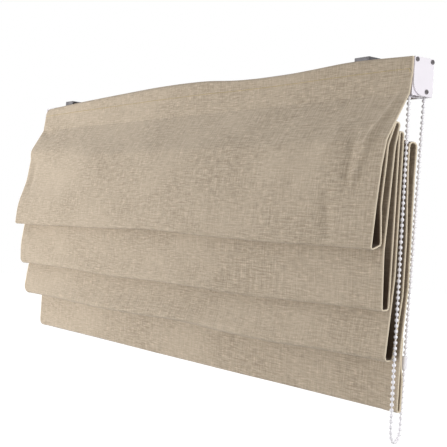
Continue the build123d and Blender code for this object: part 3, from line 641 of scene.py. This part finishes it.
def cloth_middle(cloth):
    """The cloth's middle surface on a grid: rows along its folded section, columns along the blind. Returns
    the points, the unit normals, each row's length along the cloth, its share of painted shade inside a fold
    and its half width."""
    section = rounded_section(CLOTH_ROUTE, cloth.straight_step / MM) * MM
    travel = np.concatenate(([0.0], np.cumsum(np.hypot(*np.diff(section, axis=0).T))))
    starts = [section_row(section, index) for index in FOLD_STARTS] + [len(section)]
    forward, drop = section[:, :1], section[:, 1:]
    # Columns stand closer together at both ends, as sin(1.4 s) / sin(1.4) for even s from -1 to 1
    crowding = 1.4
    place = np.sin(np.linspace(-1.0, 1.0, cloth.columns + 1) * crowding) / np.sin(crowding)
    half_width = CLOTH_END - REAR_INSET * MM * ramp(forward, 20, -4) * ramp(drop, 60, 68)
    x = half_width * place[None, :]
    front_panel = np.arange(len(section))[:, None] < section_row(section, FRONT_PANEL_END)
    ridge = np.where(front_panel, creases(x, drop), 0.0)
    y = RAIL_FRONT - stand_out(x, drop, forward, starts) - drape(x, drop, forward) - ridge
    z = RAIL_TOP - raised_top(x, drop) - fold_shift(x, drop, starts, cloth.thickness)
    points = np.stack((x, y, z), axis=2)
    normals = np.cross(np.gradient(points, axis=0), np.gradient(points, axis=1))
    normals /= np.linalg.norm(normals, axis=2, keepdims=True)
    return points, normals, travel, painted_fold_shade_share(drop, starts), half_width


def grid_faces(rows, columns, start=0, flip=False):
    """Quads of a grid of points, numbered row by row."""
    first = (np.arange(rows - 1)[:, None] * columns + np.arange(columns - 1)[None, :]).ravel() + start
    quads = np.stack((first, first + 1, first + columns + 1, first + columns), axis=1)
    return quads[:, ::-1] if flip else quads


def rim_faces(rows, columns):
    """Quads that close the gap round the borders of two grids, the second numbered after the first."""
    border = np.concatenate(
        (
            np.arange(columns),
            np.arange(1, rows) * columns + columns - 1,
            (rows - 1) * columns + np.arange(columns - 2, -1, -1),
            np.arange(rows - 2, 0, -1) * columns,
        )
    )
    following = np.roll(border, -1)
    count = rows * columns
    return np.stack((border, following, following + count, border + count), axis=1)


class ROMANBLIND_OT_cloth(bpy.types.Operator):
    """Make the folded linen panel."""

    bl_idname = "romanblind.cloth"
    bl_label = "Folded Cloth"

    def execute(self, context):
        cloth = context.scene.romanblind_cloth
        points, normals, travel, inside, half_width = cloth_middle(cloth)
        rows, columns = points.shape[:2]
        count = rows * columns

        # Thicker over the hem and its rolled edge, and rounded off within the last millimetre
        from_end = half_width - np.abs(points[:, :, 0])
        hem = 1.0 - ramp(from_end - cloth.hem_width, 0.0, 1.5)
        roll = 1.0 - ramp(from_end, 0.6, 2.4)
        short = np.clip(1.0 - from_end / (1.0 * MM), 0.0, 1.0)
        rounding = np.sqrt(np.clip(1.0 - short**2, 0.2, 1.0))
        half = (cloth.thickness / 2 + cloth.hem_swell * hem + cloth.edge_swell * roll) * rounding
        front = points + normals * half[:, :, None]
        rear = points - normals * half[:, :, None]
        faces = [
            grid_faces(rows, columns, flip=True),
            grid_faces(rows, columns, start=count),
            rim_faces(rows, columns),
        ]
        vertices = np.concatenate((front.reshape(-1, 3), rear.reshape(-1, 3)))
        piece = mesh_piece("linen_panel", vertices, faces, linen_material(cloth))

        # The weave follows the cloth: across it along the blind, and down it along the section
        mesh = piece.data
        down = np.broadcast_to(travel[:, None], (rows, columns))
        flat_points = np.tile(np.stack((points[:, :, 0], down), axis=2).reshape(-1, 2), (2, 1))
        corner = np.empty(len(mesh.loops), dtype=np.int32)
        mesh.loops.foreach_get("vertex_index", corner)
        mesh.uv_layers.new(name="cloth").data.foreach_set("uv", flat_points[corner].ravel())
        # Pale folded edge mask, partly its own tone and partly a painted highlight
        pale_edge_and_highlight = 1.0 - ramp(from_end, 0.3, 2.0)
        edge = mesh.attributes.new("edge", "FLOAT", "POINT")
        edge.data.foreach_set("value", np.tile(pale_edge_and_highlight.ravel(), 2))
        # Painted shade on the rear face inside the folds, kept off the pale edges
        lining = inside[:, None] * (1.0 - pale_edge_and_highlight)
        painted_shade = mesh.attributes.new("painted_shade", "FLOAT", "POINT")
        painted_shade.data.foreach_set("value", np.concatenate((np.zeros(count), lining.ravel())))

        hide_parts("fabric")
        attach(piece, "blind")
        return {"FINISHED"}


def tube(line, radius, sides=8):
    """A round tube along a polyline: each point plus r (cos b) n + r (sin b) m, where n and m stand square to
    the line. The ends are closed."""
    tangent = np.gradient(line, axis=0)
    tangent /= np.linalg.norm(tangent, axis=1, keepdims=True)
    # Any direction that the line nowhere follows
    reference = np.array((0.31, 0.95, 0.04))
    side = np.cross(tangent, reference)
    side /= np.linalg.norm(side, axis=1, keepdims=True)
    other = np.cross(tangent, side)
    b = np.linspace(0.0, 2 * pi, sides, endpoint=False)
    spokes = np.cos(b)[None, :, None] * side[:, None, :] + np.sin(b)[None, :, None] * other[:, None, :]
    points = line[:, None, :] + radius * spokes
    rows = len(line)
    here = np.arange(sides)
    after = (here + 1) % sides
    base = (np.arange(rows - 1) * sides)[:, None]
    quads = np.stack((base + here, base + after, base + sides + after, base + sides + here), axis=2)
    ends = np.stack((here[::-1], (rows - 1) * sides + here))
    return points.reshape(-1, 3), [quads.reshape(-1, 4), ends]


class ROMANBLIND_OT_stitches(bpy.types.Operator):
    """Make the line of stitches that holds the loop tape, with its loose thread end."""

    bl_idname = "romanblind.stitches"
    bl_label = "Tape Stitches"

    def execute(self, context):
        cloth = context.scene.romanblind_cloth
        points, normals, travel, _, _ = cloth_middle(cloth)
        row = int(np.argmin(np.abs(travel - STITCH_LINE * MM)))
        face = points[row] + normals[row] * (cloth.thickness / 2 + cloth.hem_swell)
        left, right = STITCH_INSETS
        x = np.arange(-CLOTH_END + left * MM, CLOTH_END - right * MM, cloth.stitch_pitch)
        places = np.stack([np.interp(x, points[row, :, 0], face[:, axis]) for axis in range(3)], axis=1)

        # One stitch bows out by half the thread's radius over three quarters of the pitch
        half = 0.38 * cloth.stitch_pitch
        bow = 0.5 * cloth.thread
        stitch = np.array([(-half, 0.0, 0.0), (0.0, -bow, 0.0), (half, 0.0, 0.0)])
        row_of_stitches = repeated(*tube(stitch, cloth.thread, 6), places)
        thread_end = tube(places[-1] + np.array(THREAD_END) * MM, cloth.thread, 6)
        vertices, faces = joined(row_of_stitches, thread_end)
        finish = woven_material("stitch_thread", cloth.thread_colour, 3000.0)
        stitches = mesh_piece("tape_stitches", vertices, faces, finish)
        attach(stitches, "blind")
        return {"FINISHED"}


def route_curve(name, route):
    """A smooth third-order spline that has the route as its control points."""
    data = bpy.data.curves.new(name, "CURVE")
    data.dimensions = "3D"
    data.resolution_u = 48
    spline = data.splines.new("NURBS")
    spline.points.add(len(route) - 1)
    for point, place in zip(spline.points, route):
        point.co = (*[value * MM for value in place], 1.0)
    spline.order_u = 3
    spline.use_endpoint_u = True
    made = bpy.data.objects.new(name, data)
    bpy.context.scene.collection.objects.link(made)
    return made


def spline_points(name, route):
    """Points along the route's spline."""
    holder = route_curve(name, route)
    line = bpy.data.meshes.new_from_object(holder.evaluated_get(bpy.context.evaluated_depsgraph_get()))
    points = np.empty(len(line.vertices) * 3)
    line.vertices.foreach_get("co", points)
    bpy.data.objects.remove(holder)
    bpy.data.meshes.remove(line)
    return points.reshape(-1, 3)


def even_points(line, step):
    """Points at equal steps along a polyline, the step adjusted to fit a whole number, and its length."""
    travel = np.concatenate(([0.0], np.cumsum(np.linalg.norm(np.diff(line, axis=0), axis=1))))
    count = int(round(travel[-1] / step))
    at = np.linspace(0.0, travel[-1], count + 1)
    return np.stack([np.interp(at, travel, line[:, axis]) for axis in range(3)], axis=1), travel[-1]


def beads(centres, radius, rings=8, sides=12):
    """A small sphere at each centre: c + r (sin a cos b, sin a sin b, cos a), its poles closed by fans."""
    a = np.linspace(0.0, pi, rings + 1)[1:-1]
    b = np.linspace(0.0, 2 * pi, sides, endpoint=False)
    ring = np.stack(
        (
            np.outer(np.sin(a), np.cos(b)),
            np.outer(np.sin(a), np.sin(b)),
            np.outer(np.cos(a), np.ones(sides)),
        ),
        axis=2,
    ).reshape(-1, 3)
    sphere = np.concatenate((ring, [(0.0, 0.0, 1.0), (0.0, 0.0, -1.0)])) * radius
    top, bottom = len(ring), len(ring) + 1
    here = np.arange(sides)
    after = (here + 1) % sides
    row = (np.arange(rings - 2) * sides)[:, None]
    quads = np.stack((row + here, row + sides + here, row + sides + after, row + after), axis=2)
    last = (rings - 2) * sides
    top_fan = np.stack((np.full(sides, top), here, after), axis=1)
    bottom_fan = np.stack((np.full(sides, bottom), last + after, last + here), axis=1)
    return repeated(sphere, [quads.reshape(-1, 4), top_fan, bottom_fan], centres)


def over_wheel(pitch):
    """Bead centres of the half turn over the wheel: (x, r cos t, z + r sin t), a pitch or so apart."""
    radius = CHAIN_PITCH_RADIUS * MM
    turns = np.linspace(0.0, pi, int(round(pi * radius / pitch)) + 1)[1:-1]
    across = np.full(len(turns), CHAIN_ROUTE[-1][0] * MM)
    return np.stack((across, radius * np.cos(turns), WHEEL_CENTRE_Z * MM + radius * np.sin(turns)), axis=1)


class ROMANBLIND_OT_chain(bpy.types.Operator):
    """Make the bead chain loop."""

    bl_idname = "romanblind.chain"
    bl_label = "Bead Chain"

    def execute(self, context):
        chain = context.scene.romanblind_chain
        line = spline_points("chain_route", CHAIN_ROUTE)
        hanging, travelled = even_points(line, chain.pitch)
        over = over_wheel(chain.pitch)
        strung_beads = beads(np.concatenate((hanging, over)), chain.bead / 2)
        arch = tube(np.concatenate((hanging[-1:], over, hanging[:1])), chain.link / 2)
        vertices, faces = joined(strung_beads, arch)
        finish = moulded_material("chain_plastic", chain.plastic, 0.28, 0.02)
        strung = mesh_piece("chain_beads", vertices, faces, finish)
        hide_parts("chain")
        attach(strung, "blind")

        cord = route_curve("chain_cord", CHAIN_ROUTE)
        cord.data.bevel_depth = chain.link / 2
        cord.data.bevel_resolution = 3
        cord.data.use_fill_caps = True
        cord.data.materials.append(woven_material("chain_cord", chain.plastic, 2500.0))
        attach(cord, "blind")
        return {"FINISHED"}


class ROMANBLIND_OT_finishes(bpy.types.Operator):
    """Give every piece of the construction its finish."""

    bl_idname = "romanblind.finishes"
    bl_label = "Finishes"

    def execute(self, context):
        chain = context.scene.romanblind_chain
        all_ways = (900.0, 900.0, 900.0)
        finishes = {
            "rail_paint": moulded_material("rail_paint", srgb(240, 238, 240), 0.38),
            "white_plastic": moulded_material("white_plastic", srgb(245, 240, 247), 0.3, 0.02),
            "tape": woven_material("tape", srgb(214, 206, 194), 900.0),
            "screw_steel": metal_material("screw_steel", srgb(120, 116, 118), 0.4, all_ways),
            "grey_plastic": moulded_material("grey_plastic", srgb(150, 150, 152), 0.5),
            "steel": metal_material("steel", srgb(176, 176, 180), 0.35),
            "cord": woven_material("cord", srgb(222, 216, 204), 1500.0),
            "rod": moulded_material("rod", srgb(214, 210, 202), 0.45),
            "lining": woven_material("lining", srgb(186, 172, 152), 1000.0),
            "ring_plastic": moulded_material("ring_plastic", srgb(220, 214, 200), 0.35),
            "ring_steel": metal_material("ring_steel", srgb(96, 84, 76), 0.35, all_ways),
            "linen": woven_material("linen_plain", srgb(182, 167, 148), 900.0),
            "aluminium": metal_material("aluminium", srgb(206, 206, 208), 0.35),
            "bracket_steel": metal_material("bracket_steel", srgb(104, 102, 104), 0.4),
            "lever_plastic": moulded_material("lever_plastic", srgb(226, 212, 216), 0.4),
            "chain_white": moulded_material("joiner_plastic", chain.plastic, 0.25, 0.02),
        }
        slots = {entry["node"]: entry["material_slot"] for entry in frame["record"]["subparts"]}
        for name, piece in frame["nodes"].items():
            piece.data.materials.clear()
            piece.data.materials.append(finishes[slots[name]])
        return {"FINISHED"}


def lamp(name, watts, place, target, width, height):
    """A soft rectangular lamp that looks at its target."""
    data = bpy.data.lights.new(name, "AREA")
    data.shape = "RECTANGLE"
    data.size = width
    data.size_y = height
    data.energy = watts
    made = bpy.data.objects.new(name, data)
    made.location = place
    made.rotation_euler = (Vector(target) - Vector(place)).to_track_quat("-Z", "Y").to_euler()
    bpy.context.scene.collection.objects.link(made)
    return made


def even_world(ambient):
    """A world that lights evenly at its strength, and shows white to the camera and in reflections."""
    world = bpy.data.worlds.new("studio")
    world.use_nodes = True
    tree = world.node_tree
    tree.nodes.clear()
    output = node(tree, "ShaderNodeOutputWorld")
    even = node(tree, "ShaderNodeBackground", Color=(1.0, 1.0, 1.0, 1.0), Strength=ambient)
    white = node(tree, "ShaderNodeBackground", Color=(1.0, 1.0, 1.0, 1.0), Strength=1.0)
    choose = node(tree, "ShaderNodeMixShader")
    tree.links.new(seen_rays(tree), choose.inputs[0])
    tree.links.new(even.outputs[0], choose.inputs[1])
    tree.links.new(white.outputs[0], choose.inputs[2])
    tree.links.new(choose.outputs[0], output.inputs["Surface"])
    return world


def studio_floor(height):
    """A wide level floor that keeps the object's shadow and shows white beyond it."""
    finish, tree, shader = material("floor_paint", (FLOOR_GREY, FLOOR_GREY, FLOOR_GREY), 0.9)
    tree.links.new(maths(tree, "MULTIPLY", seen_rays(tree), FLOOR_GLOW), shader.inputs["Emission Strength"])
    shader.inputs["Emission Color"].default_value = (1.0, 1.0, 1.0, 1.0)
    sides = np.array([(-1, -1), (1, -1), (1, 1), (-1, 1)]) * FLOOR_REACH
    corners = np.column_stack((sides, np.full(4, height)))
    return mesh_piece("floor", corners, [np.array([(0, 1, 2, 3)])], finish, smooth=False)


def camera_matrix():
    """The camera's axes: it looks along the yaw and pitch, and rolls about that line."""
    level = Vector((-np.sin(CAMERA_YAW), np.cos(CAMERA_YAW), 0.0))
    right = Vector((np.cos(CAMERA_YAW), np.sin(CAMERA_YAW), 0.0))
    up = Vector((0.0, 0.0, 1.0))
    look = level * np.cos(CAMERA_PITCH) + up * np.sin(CAMERA_PITCH)
    top = up * np.cos(CAMERA_PITCH) - level * np.sin(CAMERA_PITCH)
    side = right * np.cos(CAMERA_ROLL) + top * np.sin(CAMERA_ROLL)
    crown = top * np.cos(CAMERA_ROLL) - right * np.sin(CAMERA_ROLL)
    turned = Matrix((side, crown, -look)).transposed().to_4x4()
    return Matrix.Translation(CAMERA_PLACE) @ turned


class ROMANBLIND_OT_studio(bpy.types.Operator):
    """Set up the world, the floor, the lamps and the camera."""

    bl_idname = "romanblind.studio"
    bl_label = "Studio"

    def execute(self, context):
        studio = context.scene.romanblind_studio
        scene = context.scene
        scene.world = even_world(studio.ambient)
        floor = studio_floor(CAD_BOX[0][2] - studio.floor_drop)
        lamp("key", studio.key, *KEY_LAMP)
        lamp("fill", studio.fill, *FILL_LAMP)
        lamp("back", studio.back, *BACK_LAMP)

        data = bpy.data.cameras.new("photo_view")
        data.sensor_width = SENSOR_WIDTH
        data.lens = CAMERA_FOCAL_PIXELS / FRAME_PIXELS * SENSOR_WIDTH
        data.clip_start = 0.05
        data.clip_end = 50.0
        camera = bpy.data.objects.new("photo_view", data)
        camera.matrix_world = camera_matrix()
        scene.collection.objects.link(camera)
        scene.camera = camera
        scene.view_settings.view_transform = "Standard"
        return {"FINISHED"}


class ROMANBLIND_PT_panel(bpy.types.Panel):
    """The blind's tools in the sidebar."""

    bl_idname = "ROMANBLIND_PT_panel"
    bl_label = "Roman Blind"
    bl_space_type = "VIEW_3D"
    bl_region_type = "UI"
    bl_category = "Roman Blind"

    def draw(self, context):
        for operator in OPERATORS:
            self.layout.operator(operator.bl_idname)
        for name in SETTINGS:
            settings = getattr(context.scene, name)
            box = self.layout.box()
            for key in settings.__annotations__:
                box.prop(settings, key)


OPERATORS = (
    ROMANBLIND_OT_finishes,
    ROMANBLIND_OT_cloth,
    ROMANBLIND_OT_stitches,
    ROMANBLIND_OT_chain,
    ROMANBLIND_OT_studio,
)
SETTINGS = {
    "romanblind_cloth": RomanBlindCloth,
    "romanblind_chain": RomanBlindChain,
    "romanblind_studio": RomanBlindStudio,
}


def register():
    for settings in SETTINGS.values():
        bpy.utils.register_class(settings)
    for name, settings in SETTINGS.items():
        setattr(bpy.types.Scene, name, bpy.props.PointerProperty(type=settings))
    for operator in OPERATORS:
        bpy.utils.register_class(operator)
    bpy.utils.register_class(ROMANBLIND_PT_panel)


def unregister():
    bpy.utils.unregister_class(ROMANBLIND_PT_panel)
    for operator in reversed(OPERATORS):
        bpy.utils.unregister_class(operator)
    for name in SETTINGS:
        delattr(bpy.types.Scene, name)
    for settings in SETTINGS.values():
        bpy.utils.unregister_class(settings)


def main():
    register()
    bpy.ops.romanblind.finishes()
    bpy.ops.romanblind.cloth()
    bpy.ops.romanblind.stitches()
    bpy.ops.romanblind.chain()
    bpy.ops.romanblind.studio()


if __name__ == "__main__":
    main()
